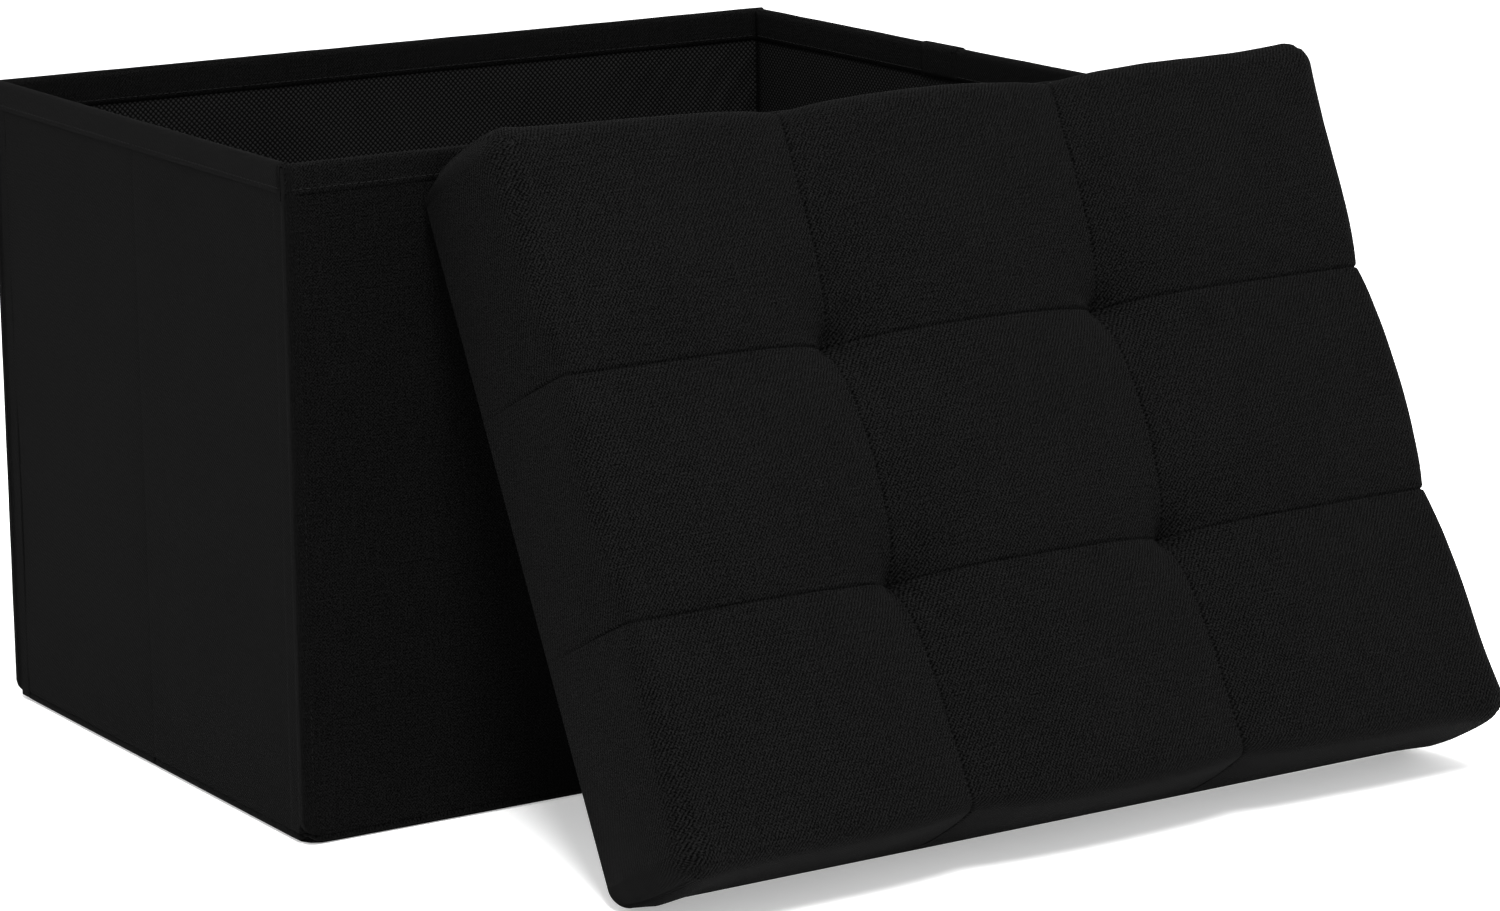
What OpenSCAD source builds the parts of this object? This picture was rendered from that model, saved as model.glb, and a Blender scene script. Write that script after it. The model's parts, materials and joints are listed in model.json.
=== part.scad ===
// Folding storage ottoman: an open fabric-covered box whose walls fold flat, a loose base
// board, and a tufted cushioned lid that stands on its long edge and leans on the front wall.
// Origin: centre of the box's underside. +X along the long side, -Y to the front, +Z up.
// Sizes are in millimetres.

/* [Box] */
// Outside length of the box along X
box_length = 430; // [300:5:760]
// Outside depth of the box along Y
box_depth = 300; // [250:5:400]
// Height of the box's rim above the floor
box_height = 300; // [200:5:400]

/* [Walls] */
// Stiff board inside each wall
wall_board = 3.2; // [2:0.1:6]
// Outer linen cover of each wall
cover_thickness = 0.8; // [0.4:0.1:1.5]
// Inner lining of each wall
lining_thickness = 0.5; // [0.3:0.1:1.5]
// Thickness of the folded rim binding
binding_thickness = 0.5; // [0.3:0.1:1]
// Depth of the binding on the outside of the rim
binding_outside = 13; // [8:1:25]
// Depth of the binding on the inside of the rim
binding_inside = 16; // [8:1:25]
// Width of the vertical corner seam strips
corner_strip_width = 4.6; // [2:0.1:8]

/* [Lid] */
// How much longer the lid is than the box
lid_extra_length = 4; // [0:1:20]
// How much deeper the lid is than the box
lid_extra_depth = 22; // [0:1:26]
// Thickness of the lid from its underside to its crown
lid_thickness = 70; // [40:1:80]
// Angle of the resting lid from upright
lid_lean = 28; // [5:1:40]
// Offset of the resting lid to the right
lid_offset = 66; // [0:1:150]
// Turn of the resting lid about the vertical
lid_turn = 0; // [0:0.1:6]
// Radius of the lid's rounded edges
lid_edge_radius = 11; // [4:0.5:18]
// Stiff board under the lid's foam
lid_board_thickness = 4; // [3:0.5:12]
// Depth of each tuft below the lid's crown
tuft_depth = 16; // [4:1:20]

/* [Base] */
// Thickness of the loose base board
base_board_thickness = 2.4; // [1.5:0.1:6]
// Thickness of the sewn-in bottom cloth
bottom_cloth_thickness = 0.8; // [0.4:0.1:2]
// Width of the pull ribbon
ribbon_width = 25; // [10:1:40]

/* [Hidden] */
$fn = 48;
half_length = box_length / 2;
half_depth = box_depth / 2;
// Running gap between separate pieces that move past each other
gap = 0.3;
// From the outer face of the binding to its inner face
wall_thickness = wall_board + cover_thickness + lining_thickness + 2 * binding_thickness;
base_bottom = bottom_cloth_thickness + gap;
base_top = base_bottom + base_board_thickness;
// The fold-flat walls start just above the base board, so they can sweep over it
wall_bottom = base_top + 0.6;
wall_top = box_height - binding_thickness;
// Clear length of one half of an end wall, with a running gap at each end
end_half = half_depth - wall_thickness - 1.5 * gap;
interior_length = box_length - 2 * wall_thickness;
lid_length = box_length + lid_extra_length;
lid_depth = box_depth + lid_extra_depth;
cover_skin = 1.2;
foam_thickness = lid_thickness - lid_board_thickness - tuft_depth - cover_skin;
corner_radius = 14;
// The leaning lid stands this far clear of the front wall, which bulges a little as it folds
lid_clearance = 0.9;

// Which piece to draw

// Walls ---------------------------------------------------------------------------------
// Every wall is drawn lying along +X from 0 to its length, with its outer face towards -Y
// and the binding's outer face on y = 0. The place_ modules below put it in the box.

module wall_layer(length, outer_face, thickness, bottom) {
    translate([0, outer_face, bottom]) cube([length, thickness, wall_top - bottom]);
}

module wall_core(length, bottom = wall_bottom) {
    wall_layer(length, binding_thickness + cover_thickness, wall_board, bottom);
}

// The binding's outer leg lies on the cover, and its inner leg on the lining
module wall_cover(length, bottom = wall_bottom) {
    wall_layer(length, binding_thickness, cover_thickness, bottom);
}

module wall_lining(length, bottom = wall_bottom) {
    wall_layer(length, binding_thickness + cover_thickness + wall_board, lining_thickness, bottom);
}

// A strip folded over the rim: a top band with an outer and an inner leg
module wall_binding(length) {
    translate([0, 0, wall_top]) cube([length, wall_thickness, binding_thickness]);
    translate([0, 0, box_height - binding_outside])
        cube([length, binding_thickness, binding_outside]);
    translate([0, wall_thickness - binding_thickness, box_height - binding_inside])
        cube([length, binding_thickness, binding_inside]);
}

// A long wall spans the whole length of the box
module place_front() { translate([-half_length, -half_depth, 0]) children(); }
module place_rear() { translate([half_length, half_depth, 0]) rotate([0, 0, 180]) children(); }

// An end wall is in two halves that meet at a crease on y = 0
module place_left_front() {
    translate([-half_length, -gap / 2, 0]) rotate([0, 0, -90]) children();
}
module place_left_rear() {
    translate([-half_length, half_depth - wall_thickness - gap, 0])
        rotate([0, 0, -90]) children();
}
module place_right_front() {
    translate([half_length, -gap / 2 - end_half, 0]) rotate([0, 0, 90]) children();
}
module place_right_rear() {
    translate([half_length, gap / 2, 0]) rotate([0, 0, 90]) children();
}

// A seam strip runs up the narrow end face of a long wall
module corner_strip(side, front) {
    translate([side * half_length + (side < 0 ? -binding_thickness : 0),
               front * (half_depth - wall_thickness / 2) - corner_strip_width / 2,
               wall_bottom])
        cube([binding_thickness, corner_strip_width, box_height - wall_bottom]);
}

module rear_board() { color("#5a4a3a") place_rear() wall_core(box_length, bottom_cloth_thickness); }
module rear_cover() { color("#1a1a1c") place_rear() wall_cover(box_length, bottom_cloth_thickness); }
module rear_lining() { color("#222224") place_rear() wall_lining(box_length, bottom_cloth_thickness); }
module rear_binding() { color("#262628") place_rear() wall_binding(box_length); }
module rear_left_corner_strip() { color("#202022") corner_strip(-1, 1); }
module rear_right_corner_strip() { color("#202022") corner_strip(1, 1); }

module left_rear_board() { color("#5a4a3a") place_left_rear() wall_core(end_half); }
module left_rear_cover() { color("#1a1a1c") place_left_rear() wall_cover(end_half); }
module left_rear_lining() { color("#222224") place_left_rear() wall_lining(end_half); }
module left_rear_binding() { color("#262628") place_left_rear() wall_binding(end_half); }

module left_front_board() { color("#5a4a3a") place_left_front() wall_core(end_half); }
module left_front_cover() { color("#1a1a1c") place_left_front() wall_cover(end_half); }
module left_front_lining() { color("#222224") place_left_front() wall_lining(end_half); }
module left_front_binding() { color("#262628") place_left_front() wall_binding(end_half); }

module front_board() { color("#5a4a3a") place_front() wall_core(box_length); }
module front_cover() { color("#1a1a1c") place_front() wall_cover(box_length); }
module front_lining() { color("#222224") place_front() wall_lining(box_length); }
module front_binding() { color("#262628") place_front() wall_binding(box_length); }
module front_left_corner_strip() { color("#202022") corner_strip(-1, -1); }
module front_right_corner_strip() { color("#202022") corner_strip(1, -1); }

module right_rear_board() { color("#5a4a3a") place_right_rear() wall_core(end_half); }
module right_rear_cover() { color("#1a1a1c") place_right_rear() wall_cover(end_half); }
module right_rear_lining() { color("#222224") place_right_rear() wall_lining(end_half); }
module right_rear_binding() { color("#262628") place_right_rear() wall_binding(end_half); }

module right_front_board() { color("#5a4a3a") place_right_front() wall_core(end_half); }
module right_front_cover() { color("#1a1a1c") place_right_front() wall_cover(end_half); }
module right_front_lining() { color("#222224") place_right_front() wall_lining(end_half); }
module right_front_binding() { color("#262628") place_right_front() wall_binding(end_half); }

// Where the two ends of the rim binding overlap: a short second fold over the right end wall
module binding_lap() {
    lap = 30;
    layer = 0.4;
    color("#2a2a2c") place_right_front()
        translate([end_half - lap - 4, -layer, 0]) {
            translate([0, 0, box_height])
                cube([lap, wall_thickness + 2 * layer, layer]);
            translate([0, 0, box_height - binding_outside])
                cube([lap, layer, binding_outside]);
            translate([0, wall_thickness + layer, box_height - binding_inside])
                cube([lap, layer, binding_inside]);
        }
}

// Bottom --------------------------------------------------------------------------------

module bottom_cloth() {
    color("#1c1c1e")
        translate([-half_length, -half_depth, 0])
            cube([box_length, box_depth, bottom_cloth_thickness]);
}

// The loose board lies on the bottom cloth, just inside the walls' outline
base_length = interior_length - 4;
base_depth = box_depth - 2 * wall_thickness - 4;

module base_board() {
    color("#6a5a48")
        translate([-base_length / 2, -base_depth / 2, base_bottom])
            cube([base_length, base_depth, base_board_thickness - 0.4]);
}

module base_cover() {
    color("#222224")
        translate([-base_length / 2, -base_depth / 2, base_top - 0.4])
            cube([base_length, base_depth, 0.4]);
}

// A flat loop of ribbon, sewn to the base cover near the left end
module pull_ribbon() {
    color("#18181a")
        translate([-base_length / 2 + 60, -ribbon_width / 2, base_top])
            cube([90, ribbon_width, 0.5]);
}

// Lid -----------------------------------------------------------------------------------
// The lid is drawn flat, top up, with the middle of its lower long edge at the origin and
// its underside on z = 0, then stood on that edge and leaned back on the front wall.

// The back edge of its top is what leans on the front wall, near the wall's right corner
module place_lid() {
    stand_y = -half_depth - lid_clearance - lid_depth * sin(lid_lean) / cos(lid_turn)
        - (half_length - lid_offset) * tan(lid_turn);
    translate([lid_offset, stand_y, 0])
        rotate([0, 0, lid_turn]) rotate([90 - lid_lean, 0, 0]) children();
}

module lid_outline(inset, height) {
    r = max(corner_radius - inset, 1);
    translate([0, lid_depth / 2, 0])
        linear_extrude(height = height)
            hull()
                for (sx = [-1, 1], sy = [-1, 1])
                    translate([sx * (lid_length / 2 - inset - r), sy * (lid_depth / 2 - inset - r)])
                        circle(r = r, $fn = 32);
}

function tuft_x(i) = (i == 0 ? -1 : 1) * lid_length / 6;
function tuft_y(j) = lid_depth / 2 + (j == 0 ? -1 : 1) * lid_depth / 6;

// Upholstered top: upright sides, edges rounded into the top face
module lid_pad() {
    r = lid_edge_radius;
    hull() {
        for (sx = [-1, 1], y = [corner_radius, lid_depth - corner_radius])
            translate([sx * (lid_length / 2 - corner_radius), y, 0]) {
                cylinder(r = corner_radius, h = lid_thickness - r, $fn = 32);
                translate([0, 0, lid_thickness - r])
                    cylinder(r1 = corner_radius, r2 = corner_radius - 0.3 * r, h = 0.7 * r, $fn = 32);
                cylinder(r = corner_radius - r * 0.85, h = lid_thickness, $fn = 32);
            }
    }
}

module lid_cover() {
    color("#1e1e20") place_lid()
        difference() {
            lid_pad();
            // open underneath, where the foam and the board go in
            translate([0, 0, -1]) lid_outline(cover_skin, foam_thickness + lid_board_thickness + 1);
            // the tufts, and the seams between the squares
            for (i = [0, 1], j = [0, 1])
                translate([tuft_x(i), tuft_y(j), lid_thickness + 26 - tuft_depth + 1])
                    sphere(r = 26);
            for (i = [0, 1])
                translate([tuft_x(i), -1, lid_thickness + 11])
                    rotate([-90, 0, 0]) cylinder(r = 12, h = lid_depth + 2);
            for (j = [0, 1])
                translate([-lid_length / 2 - 1, tuft_y(j), lid_thickness + 11])
                    rotate([0, 90, 0]) cylinder(r = 12, h = lid_length + 2);
        }
}

module lid_foam() {
    color("#d8cfa8") place_lid()
        difference() {
            translate([0, 0, lid_board_thickness])
                lid_outline(cover_skin, foam_thickness);
            for (i = [0, 1], j = [0, 1])
                translate([tuft_x(i), tuft_y(j), 0]) cylinder(r = 1.5, h = lid_thickness);
        }
}

module lid_board() {
    color("#8a6a48") place_lid()
        difference() {
            lid_outline(cover_skin, lid_board_thickness);
            for (i = [0, 1], j = [0, 1])
                translate([tuft_x(i), tuft_y(j), -1])
                    cylinder(r = 1.5, h = lid_board_thickness + 2);
        }
}

// Dust cloth stapled over the underside
module lid_lining() {
    color("#1c1c1e") place_lid()
        translate([0, 0, -1.2]) lid_outline(5, 0.6);
}

// Cords that pull the tufts down, through the foam and the board
module tuft_ties() {
    color("#2a2a2a") place_lid()
        for (i = [0, 1], j = [0, 1])
            translate([tuft_x(i), tuft_y(j), 0])
                cylinder(r = 0.9, h = foam_thickness + lid_board_thickness);
}

// Washers that hold the cords, between the board and the dust cloth
module tuft_washers() {
    color("#303032") place_lid()
        for (i = [0, 1], j = [0, 1])
            translate([tuft_x(i), tuft_y(j), -0.5]) cylinder(r = 8, h = 0.5);
}

module lid_staples() {
    color("#9a9a9c") place_lid()
        for (i = [-5:5], y = [9, lid_depth - 9])
            translate([i * 38 - 5, y - 0.5, -1.6]) cube([10, 1, 0.4]);
}

rear_board();
rear_cover();
rear_lining();
rear_binding();
rear_left_corner_strip();
rear_right_corner_strip();
bottom_cloth();
left_rear_board();
left_rear_cover();
left_rear_lining();
left_rear_binding();
left_front_board();
left_front_cover();
left_front_lining();
left_front_binding();
front_board();
front_cover();
front_lining();
front_binding();
front_left_corner_strip();
front_right_corner_strip();
right_rear_board();
right_rear_cover();
right_rear_lining();
right_rear_binding();
right_front_board();
right_front_cover();
right_front_lining();
right_front_binding();
binding_lap();
base_board();
base_cover();
pull_ribbon();
lid_board();
lid_foam();
lid_cover();
lid_lining();
tuft_ties();
tuft_washers();
lid_staples();
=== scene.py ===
import json
import math

import bmesh
import bpy
import numpy as np
from mathutils import Matrix, Vector, noise


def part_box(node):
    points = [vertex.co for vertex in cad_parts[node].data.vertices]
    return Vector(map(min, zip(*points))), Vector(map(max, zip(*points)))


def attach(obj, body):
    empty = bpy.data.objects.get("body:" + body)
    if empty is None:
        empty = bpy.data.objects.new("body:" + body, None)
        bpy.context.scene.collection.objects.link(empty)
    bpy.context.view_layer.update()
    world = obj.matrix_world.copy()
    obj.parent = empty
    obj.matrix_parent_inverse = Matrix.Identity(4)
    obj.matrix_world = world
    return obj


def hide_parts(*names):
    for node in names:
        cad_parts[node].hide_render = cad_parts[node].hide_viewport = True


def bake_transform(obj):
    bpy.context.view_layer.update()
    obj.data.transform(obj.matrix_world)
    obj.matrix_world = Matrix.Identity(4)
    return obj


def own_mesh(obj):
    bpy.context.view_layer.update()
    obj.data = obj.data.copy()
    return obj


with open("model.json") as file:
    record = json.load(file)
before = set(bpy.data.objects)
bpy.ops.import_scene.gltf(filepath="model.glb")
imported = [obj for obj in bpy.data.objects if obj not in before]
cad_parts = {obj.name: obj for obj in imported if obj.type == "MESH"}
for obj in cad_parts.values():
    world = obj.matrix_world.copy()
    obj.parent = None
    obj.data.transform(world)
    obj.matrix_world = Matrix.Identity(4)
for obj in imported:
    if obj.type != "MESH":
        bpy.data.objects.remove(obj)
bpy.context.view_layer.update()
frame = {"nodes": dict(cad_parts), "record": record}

MM = 0.001

# ---------------------------------------------------------------- sizes, read off the frame

CLOTH_LOW, CLOTH_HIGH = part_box("bottom_cloth")
HALF_LENGTH = CLOTH_HIGH.x
HALF_DEPTH = CLOTH_HIGH.y
CLOTH_TOP = CLOTH_HIGH.z
RIM_LOW, RIM_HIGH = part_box("front_binding")
RIM = RIM_HIGH.z
WALL = RIM_HIGH.y - RIM_LOW.y
WALL_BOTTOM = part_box("front_board")[0].z
BASE_LOW, BASE_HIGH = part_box("base_board")
BASE_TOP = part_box("base_cover")[1].z

# The lid's own sizes and where it stands, as part.scad has them
LID_LENGTH = 434 * MM
LID_DEPTH = 322 * MM
LID_THICK = 70 * MM
LID_LEAN = math.radians(28)
LID_OFFSET = 66 * MM
LID_CLEAR = 0.9 * MM


def lid_matrix():
    """Takes the lid, drawn flat with its lower long edge at the origin, to where it leans."""
    stand_y = -HALF_DEPTH - LID_CLEAR - LID_DEPTH * math.sin(LID_LEAN)
    return Matrix.Translation((LID_OFFSET, stand_y, 0)) @ Matrix.Rotation(math.pi / 2 - LID_LEAN, 4, "X")


LID = lid_matrix()

# ---------------------------------------------------------------- materials


class Shader:
    """A node tree being built: add() makes a node, sets its values and links its inputs."""

    def __init__(self, name):
        self.material = bpy.data.materials.new(name)
        self.material.use_nodes = True
        self.tree = self.material.node_tree
        self.bsdf = self.tree.nodes["Principled BSDF"]

    def add(self, kind, inputs=None, **settings):
        node = self.tree.nodes.new("ShaderNode" + kind)
        for key, value in settings.items():
            setattr(node, key, value)
        for key, value in (inputs or {}).items():
            self.put(node.inputs[key], value)
        return node

    def put(self, socket, value):
        if isinstance(value, bpy.types.NodeSocket):
            self.tree.links.new(value, socket)
        else:
            socket.default_value = value

    def math(self, operation, a, b=0.0, c=0.0):
        return self.add("Math", {0: a, 1: b, 2: c}, operation=operation).outputs[0]

    def surface(self, **inputs):
        for key, value in inputs.items():
            self.put(self.bsdf.inputs[key.replace("_", " ")], value)

    def ramp(self, value, stops):
        node = self.add("ValToRGB", {0: value})
        ends = node.color_ramp.elements
        while len(ends) < len(stops):
            ends.new(0.5)
        for end, (place, colour) in zip(ends, stops):
            end.position = place
            end.color = (*colour, 1) if len(colour) == 3 else colour
        return node.outputs["Color"]


def cloth_uv(shader):
    """The cloth's own coordinates in metres, as every woven piece here carries them."""
    uv = shader.add("UVMap", uv_map="cloth").outputs["UV"]
    split = shader.add("SeparateXYZ", {0: uv})
    return uv, split.outputs["X"], split.outputs["Y"]


def stretched_noise(shader, uv, along, across, detail=2.0):
    """Noise drawn out into threads: along and across are its grain sizes in metres."""
    mapping = shader.add("Mapping", {"Vector": uv, "Scale": (1 / along, 1 / across, 1)})
    return shader.add(
        "TexNoise", {"Vector": mapping.outputs[0], "Scale": 1.0, "Detail": detail}
    ).outputs["Fac"]


def woven(name, dark, light, pitch, twill, bump, rough=0.86, sheen=0.006, slant=0.2):
    """Linen-look cloth: thick and thin threads both ways, a faint twill, and a dusty sheen."""
    s = Shader(name)
    uv, u, v = cloth_uv(s)
    wobble = s.add("TexNoise", {"Vector": uv, "Scale": 260.0, "Detail": 2.0}).outputs["Fac"]
    shift = s.math("MULTIPLY_ADD", wobble, pitch * 1.3, -pitch * 0.65)
    warp = s.math("SINE", s.math("MULTIPLY", s.math("ADD", u, shift), math.pi / pitch))
    weft = s.math("SINE", s.math("MULTIPLY", s.math("ADD", v, shift), math.pi / pitch))
    cross = s.math("MULTIPLY", warp, weft)
    lean = s.math("SUBTRACT", u, s.math("MULTIPLY", v, 0.72))
    diagonal = s.math("SINE", s.math("MULTIPLY", s.math("ADD", lean, shift), 2 * math.pi / twill))
    slub_u = stretched_noise(s, uv, 0.016, 0.0009)
    slub_v = stretched_noise(s, uv, 0.0009, 0.016)
    slub = s.math("ADD", slub_u, slub_v)
    speck = s.add("TexNoise", {"Vector": uv, "Scale": 1250.0, "Detail": 1.0}).outputs["Fac"]
    cloud = s.add("TexNoise", {"Vector": uv, "Scale": 16.0, "Detail": 3.0}).outputs["Fac"]
    height = s.math("MULTIPLY_ADD", cross, 0.34, s.math("MULTIPLY", diagonal, slant))
    height = s.math("ADD", height, s.math("MULTIPLY", slub, 0.55))
    tone = s.math("MULTIPLY_ADD", speck, 0.9, s.math("MULTIPLY", height, 0.32))
    tone = s.math("MULTIPLY_ADD", cloud, 0.06, tone)
    colour = s.ramp(tone, [(0.50, dark), (0.90, light)])
    bumped = s.add("Bump", {"Height": height, "Strength": bump, "Distance": 0.0005})
    s.surface(
        Base_Color=colour,
        Roughness=rough,
        Normal=bumped.outputs[0],
        Sheen_Weight=sheen,
        Sheen_Roughness=0.55,
        Sheen_Tint=(0.8, 0.8, 0.8, 1),
        Specular_IOR_Level=0.01,
    )
    return s.material


def nonwoven(name, dark, light):
    """Spun-bonded lining: a grid of small pressed dimples with fibres between them."""
    s = Shader(name)
    uv, u, v = cloth_uv(s)
    pitch = 0.0027
    a = s.math("ADD", u, v)
    b = s.math("SUBTRACT", u, v)
    da = s.math("SINE", s.math("MULTIPLY", a, math.pi / pitch))
    db = s.math("SINE", s.math("MULTIPLY", b, math.pi / pitch))
    dimple = s.math("ABSOLUTE", s.math("MULTIPLY", da, db))
    fibre = s.add("TexNoise", {"Vector": uv, "Scale": 900.0, "Detail": 4.0}).outputs["Fac"]
    cloud = s.add("TexNoise", {"Vector": uv, "Scale": 22.0, "Detail": 2.0}).outputs["Fac"]
    tone = s.math("MULTIPLY_ADD", dimple, 0.85, s.math("MULTIPLY", fibre, 0.35))
    tone = s.math("MULTIPLY_ADD", cloud, 0.2, tone)
    colour = s.ramp(tone, [(0.42, dark), (1.08, light)])
    height = s.math("MULTIPLY_ADD", dimple, 0.8, s.math("MULTIPLY", fibre, 0.25))
    bumped = s.add("Bump", {"Height": height, "Strength": 0.7, "Distance": 0.0004})
    s.surface(
        Base_Color=colour,
        Roughness=0.72,
        Normal=bumped.outputs[0],
        Sheen_Weight=0.004,
        Sheen_Roughness=0.6,
        Specular_IOR_Level=0.02,
    )
    return s.material


def ribbed(name, dark, light, pitch):
    """Plain tape or ribbon: close ribs across its length."""
    s = Shader(name)
    uv, u, _ = cloth_uv(s)
    rib = s.math("SINE", s.math("MULTIPLY", u, 2 * math.pi / pitch))
    fleck = s.add("TexNoise", {"Vector": uv, "Scale": 900.0, "Detail": 2.0}).outputs["Fac"]
    tone = s.math("MULTIPLY_ADD", rib, 0.25, fleck)
    colour = s.ramp(tone, [(0.2, dark), (0.9, light)])
    bumped = s.add("Bump", {"Height": rib, "Strength": 0.5, "Distance": 0.0003})
    s.surface(
        Base_Color=colour,
        Roughness=0.7,
        Normal=bumped.outputs[0],
        Sheen_Weight=0.03,
        Specular_IOR_Level=0.12,
    )
    return s.material


def solid_noise(name, dark, light, scale, rough, bump, stretch=(1, 1, 1), metallic=0.0, shine=0.5):
    """Board, foam, cord, plastic or wire: two tones in grain of the given size."""
    s = Shader(name)
    place = s.add("TexCoord").outputs["Object"]
    mapping = s.add("Mapping", {"Vector": place, "Scale": stretch})
    coarse = s.add("TexNoise", {"Vector": mapping.outputs[0], "Scale": scale, "Detail": 5.0})
    fine = s.add("TexNoise", {"Vector": mapping.outputs[0], "Scale": scale * 7, "Detail": 2.0})
    tone = s.math("MULTIPLY_ADD", fine.outputs["Fac"], 0.4, coarse.outputs["Fac"])
    colour = s.ramp(tone, [(0.4, dark), (0.95, light)])
    bumped = s.add("Bump", {"Height": tone, "Strength": bump, "Distance": 0.0006})
    s.surface(
        Base_Color=colour,
        Roughness=rough,
        Normal=bumped.outputs[0],
        Metallic=metallic,
        Specular_IOR_Level=shine,
    )
    return s.material


def grey(value):
    return (value, value, value)


MATERIAL = {
    "linen": woven("linen", grey(0.0001), grey(0.0042), 0.00072, 0.0019, 0.6, slant=0.08),
    "lid_linen": woven("lid_linen", grey(0.0001), grey(0.0056), 0.0008, 0.0019, 0.75, slant=0.3),
    "binding_tape": woven("binding_tape", grey(0.0002), grey(0.0052), 0.0007, 0.0016, 0.55),
    "nonwoven": nonwoven("nonwoven", grey(0.0001), grey(0.0098)),
    "ribbon": ribbed("ribbon", (0.002, 0.002, 0.0022), (0.014, 0.014, 0.015), 0.0011),
    "fibreboard": solid_noise("fibreboard", (0.20, 0.13, 0.07), (0.36, 0.26, 0.16), 130, 0.85, 0.25),
    "lid_wood": solid_noise("lid_wood", (0.26, 0.17, 0.09), (0.46, 0.33, 0.2), 90, 0.8, 0.25, (0.2, 1, 1)),
    "foam": solid_noise("foam", (0.66, 0.58, 0.34), (0.86, 0.8, 0.6), 420, 0.95, 0.8),
    "cord": solid_noise("cord", grey(0.01), grey(0.04), 700, 0.8, 0.6, shine=0.1),
    "washer": solid_noise("washer", (0.02, 0.02, 0.022), (0.045, 0.045, 0.05), 160, 0.45, 0.15),
    "staple": solid_noise("staple", (0.42, 0.42, 0.44), (0.66, 0.66, 0.68), 500, 0.32, 0.1, metallic=1.0),
    "thread": solid_noise("thread", grey(0.002), grey(0.009), 1500, 0.8, 0.5, shine=0.05),
}
SLOT_OF = {row["node"]: row["material_slot"] for row in frame["record"]["subparts"]}

for node_name, node in frame["nodes"].items():
    node.data.materials.clear()
    node.data.materials.append(MATERIAL[SLOT_OF[node_name]])

# ---------------------------------------------------------------- mesh building


def mesh_object(name, points, faces, material, uv=None):
    """A smooth-shaded object from a list of points and faces, with its cloth coordinates."""
    mesh = bpy.data.meshes.new(name)
    mesh.from_pydata([tuple(p) for p in points], [], faces)
    layer = mesh.uv_layers.new(name="cloth")
    if uv is None:
        uv = [(p[0] + 0.37 * p[1], p[2]) for p in points]
    index = np.zeros(len(mesh.loops), int)
    mesh.loops.foreach_get("vertex_index", index)
    layer.data.foreach_set("uv", np.asarray(uv, float)[index].ravel())
    mesh.materials.append(MATERIAL[material])
    mesh.shade_smooth()
    obj = bpy.data.objects.new(name, mesh)
    bpy.context.scene.collection.objects.link(obj)
    return obj


def grid_faces(rows, columns, closed=False):
    """Quads of a rows by columns grid; closed joins the last row back to the first."""
    faces = []
    for i in range(rows if closed else rows - 1):
        j = (i + 1) % rows
        for k in range(columns - 1):
            faces.append((i * columns + k, j * columns + k, j * columns + k + 1, i * columns + k + 1))
    return faces


def tube_faces(rows, ring, first=0, capped=True):
    """Quads of a tube of rows rings of ring points, from point first, and its two ends."""
    faces = []
    for i in range(rows - 1):
        a, b = first + i * ring, first + (i + 1) * ring
        for k in range(ring):
            m = (k + 1) % ring
            faces.append((a + k, b + k, b + m, a + m))
    if capped:
        last = first + (rows - 1) * ring
        faces.append(tuple(range(first, first + ring)))
        faces.append(tuple(reversed(range(last, last + ring))))
    return faces


def apply_modifier(obj, kind, **settings):
    modifier = obj.modifiers.new(kind.title(), kind)
    for key, value in settings.items():
        setattr(modifier, key, value)
    bpy.context.view_layer.objects.active = obj
    bpy.ops.object.modifier_apply(modifier=modifier.name)
    return obj


def face_outward(obj):
    """Turns every face to point out of the solid."""
    bm = bmesh.new()
    bm.from_mesh(obj.data)
    bmesh.ops.recalc_face_normals(bm, faces=bm.faces)
    bm.to_mesh(obj.data)
    bm.free()
    return obj


def show_face(obj, outward):
    """Turns a single layer of cloth over if the face it shows doesn't point the given way."""
    if obj.data.polygons[0].normal.dot(Vector(outward)) < 0:
        obj.data.flip_normals()


def thicken(obj, thickness):
    """Gives a single layer of cloth its thickness, inward from the face it shows."""
    return apply_modifier(obj, "SOLIDIFY", thickness=thickness, offset=-1, use_even_offset=True)


def spaced(low, high, step, fine_at=(), fine=0.0006, growth=0.45):
    """Positions from low to high about step apart, closing up to fine near each of fine_at."""
    stops = sorted({low, high, *[f for f in fine_at if low < f < high]})
    out = [low]
    for a, b in zip(stops, stops[1:]):
        left, right = a in fine_at, b in fine_at
        width = b - a

        def local(x):
            near = min(x - a if left else 1e9, b - x if right else 1e9)
            return min(step, fine + growth * near)

        marks, x = [], a
        while x < b:
            x += local(x + 0.3 * fine)
            marks.append(x)
        scale = width / (marks[-1] - a)
        out += [a + (m - a) * scale for m in marks[:-1]] + [b]
    return out


def soft(point, size, seed=0.0):
    """Smooth noise of about the given size in metres, from -1 to 1."""
    return noise.noise(Vector((point[0] / size + seed, point[1] / size - 2 * seed, seed * 0.7)))


# ---------------------------------------------------------------- the wrapped panel


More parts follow.
